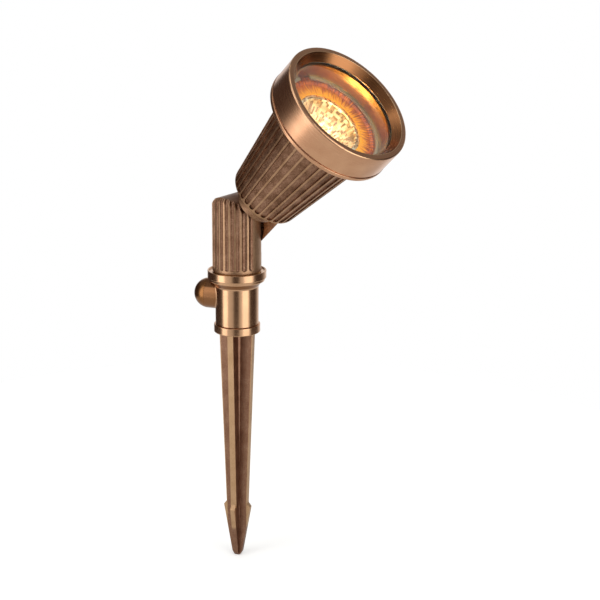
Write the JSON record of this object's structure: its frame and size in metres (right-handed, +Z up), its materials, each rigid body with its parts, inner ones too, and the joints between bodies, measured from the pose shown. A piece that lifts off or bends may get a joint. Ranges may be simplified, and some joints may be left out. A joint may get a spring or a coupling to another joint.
{
  "type": "garden spike spotlight",
  "caption": "Brass garden spotlight on a ground stake: ribbed lamp head with screwed bezel and glass lens, toothed tilting knuckle, fluted post, collar with side cable gland.",
  "frame": {"origin": "on the stake's axis at the underside of the collar's lower rim, where the ground surface is", "axes": "+Z up along the stake and post; the lamp head aims towards -Y, tilted 47 degrees from the vertical; the knuckle's tilt axis is along X and its screw head is on the +X side"},
  "size_m": [0.0966, 0.1736, 0.407],
  "materials": {
    "brushed_brass": "brushed, lacquered",
    "cast_brass": "antique bronze patina on cast brass",
    "satin_bronze": "satin antique bronze",
    "black_rubber": "matte",
    "stainless_steel": "satin",
    "plain_brass": "machined",
    "ceramic": "white glazed ceramic",
    "clear_glass": "clear",
    "mirror_glass": "faceted mirror coat",
    "wire_sleeve": "silicone"
  },
  "bodies": {
    "stake": {"ground_stake": "cast_brass", "stake_hub": "brushed_brass", "stake_screw": "stainless_steel", "hub_o_ring": "black_rubber", "collar": "brushed_brass", "gland_nut": "brushed_brass", "gland_seal": "black_rubber", "pan_washer": "plain_brass"},
    "post": {"lower_knuckle": "cast_brass", "stem_locknut": "plain_brass", "stem_washer": "stainless_steel", "pivot_screw": "stainless_steel", "pivot_washer": "stainless_steel", "pivot_o_ring": "black_rubber", "stem_leads": "wire_sleeve", "crimp_sleeves": "stainless_steel"},
    "head": {"upper_knuckle": "cast_brass", "neck_gasket": "black_rubber", "neck_lock_washer": "stainless_steel", "neck_locknut": "plain_brass", "head_body": "cast_brass", "bezel_o_ring": "black_rubber", "lamp_plate": "plain_brass", "plate_clip": "stainless_steel", "lamp_reflector": "mirror_glass", "lamp_glass": "clear_glass", "lamp_capsule": "clear_glass", "lamp_base": "ceramic", "lamp_pins": "stainless_steel", "lampholder": "ceramic", "holder_bracket": "stainless_steel", "bracket_screws": "stainless_steel", "holder_screws": "stainless_steel", "head_leads": "wire_sleeve"},
    "lens_pack": {"lens": "clear_glass", "lens_gasket": "black_rubber"},
    "bezel_ring": {"bezel": "satin_bronze"}
  },
  "joints": [
    {"name": "head_pan", "type": "hinge", "parent": "stake", "child": "post", "pos_m": [0, 0, 0], "axis": [0, 0, 1], "range_deg": [-170, 170]},
    {"name": "head_tilt", "type": "hinge", "parent": "post", "child": "head", "pos_m": [0, 0, 0.082], "axis": [1, 0, 0], "range_deg": [-143, 50]},
    {"name": "lens_lift", "type": "slide", "parent": "head", "child": "lens_pack", "axis": [0, -0.7278, 0.6858], "range_m": [0, 0.0081]},
    {"name": "bezel_turn", "type": "hinge", "parent": "lens_pack", "child": "bezel_ring", "pos_m": [0, 0, 0.082], "axis": [0, -0.7278, 0.6858], "range_deg": [0, 1440]}
  ],
  "couplings": [
    {"joint": "lens_lift", "follows": "bezel_turn", "m_per_rad": 0.00031831}
  ]
}
